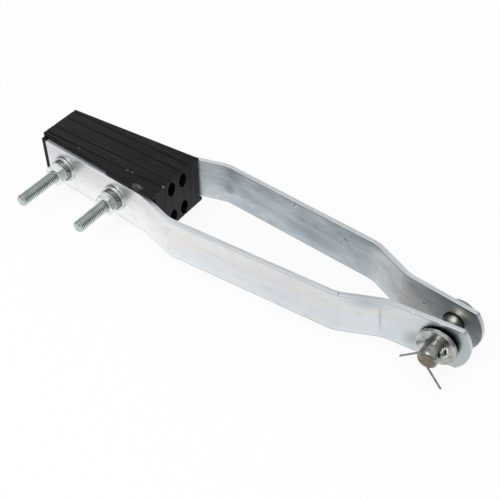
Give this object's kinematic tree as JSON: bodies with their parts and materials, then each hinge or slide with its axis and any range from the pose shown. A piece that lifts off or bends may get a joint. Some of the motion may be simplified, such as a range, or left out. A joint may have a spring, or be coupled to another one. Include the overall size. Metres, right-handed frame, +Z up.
{
  "type": "anchor clamp",
  "caption": "Wedge-type anchor clamp: bent steel straps bolted round grooved plastic jaws for an aerial cable bundle, with a clevis, headed pin and split pin.",
  "frame": {"origin": "middle of the clevis pin between the two ears", "axes": "+X from the cable jaws to the clevis, +Y towards the bolt heads, +Z up"},
  "size_m": [0.3065, 0.0917, 0.0364],
  "materials": {
    "galvanised_steel": "bright zinc-plated flat bar, faint streaks and scratches",
    "zinc_fastener": "bright zinc plating",
    "pin_steel": "darker oily turned steel",
    "dark_wire": "dull dark steel wire",
    "black_polymer": "weather-resistant black moulded polymer, satin"
  },
  "bodies": {
    "far_side": {"far_strap": "galvanised_steel", "far_wedge": "black_polymer", "far_jaw": "black_polymer", "tail_bolt": "zinc_fastener", "front_bolt": "zinc_fastener"},
    "near_side": {"near_strap": "galvanised_steel", "near_wedge": "black_polymer"},
    "near_jaw": {"near_jaw": "black_polymer"},
    "middle_jaw": {"middle_jaw": "black_polymer"},
    "tail_washers": {"tail_flat_washer": "zinc_fastener", "tail_spring_washer": "zinc_fastener"},
    "front_washers": {"front_flat_washer": "zinc_fastener", "front_spring_washer": "zinc_fastener"},
    "tail_nut": {"tail_nut": "zinc_fastener"},
    "front_nut": {"front_nut": "zinc_fastener"},
    "clevis_pin": {"clevis_pin": "pin_steel", "split_pin": "dark_wire"},
    "clevis_washer": {"clevis_washer": "zinc_fastener"}
  },
  "joints": [
    {"name": "tail_nut_spin", "type": "hinge", "parent": "tail_washers", "child": "tail_nut", "pos_m": [-0.2692, -0.027, 0], "axis": [0, -1, 0], "range_deg": [0, 3456.5]},
    {"name": "tail_washers_slide", "type": "slide", "parent": "far_side", "child": "tail_washers", "axis": [0, -1, 0], "range_m": [0, 0.012]},
    {"name": "front_washers_slide", "type": "slide", "parent": "far_side", "child": "front_washers", "axis": [0, -1, 0], "range_m": [0, 0.00996]},
    {"name": "front_nut_spin", "type": "hinge", "parent": "front_washers", "child": "front_nut", "pos_m": [-0.2235, -0.0299, 0], "axis": [0, -1, 0], "range_deg": [0, 2869.8]},
    {"name": "near_strap_swing", "type": "hinge", "parent": "far_side", "child": "near_side", "pos_m": [0, -0.00887, 0], "axis": [0, 0, 1], "range_deg": [0, 2.55]},
    {"name": "near_jaw_slide", "type": "slide", "parent": "far_side", "child": "near_jaw", "axis": [0, -1, 0], "range_m": [0, 0.0081]},
    {"name": "middle_jaw_slide", "type": "slide", "parent": "far_side", "child": "middle_jaw", "axis": [0, -1, 0], "range_m": [0, 0.00405]},
    {"name": "clevis_pin_spin", "type": "hinge", "parent": "far_side", "child": "clevis_pin", "pos_m": [0, 0, 0], "axis": [0, 1, 0], "continuous": true},
    {"name": "clevis_washer_slide", "type": "slide", "parent": "far_side", "child": "clevis_washer", "axis": [0, -1, 0], "range_m": [0, 0.0027]}
  ],
  "couplings": [
    {"joint": "tail_washers_slide", "follows": "near_strap_swing", "m_per_rad": 0.2692},
    {"joint": "front_washers_slide", "follows": "near_strap_swing", "m_per_rad": 0.2235},
    {"joint": "tail_nut_spin", "follows": "near_strap_swing", "ratio": 1353.2},
    {"joint": "front_nut_spin", "follows": "near_strap_swing", "ratio": 1123.5},
    {"joint": "near_jaw_slide", "follows": "near_strap_swing", "m_per_rad": 0.18171},
    {"joint": "middle_jaw_slide", "follows": "near_strap_swing", "m_per_rad": 0.090857}
  ]
}
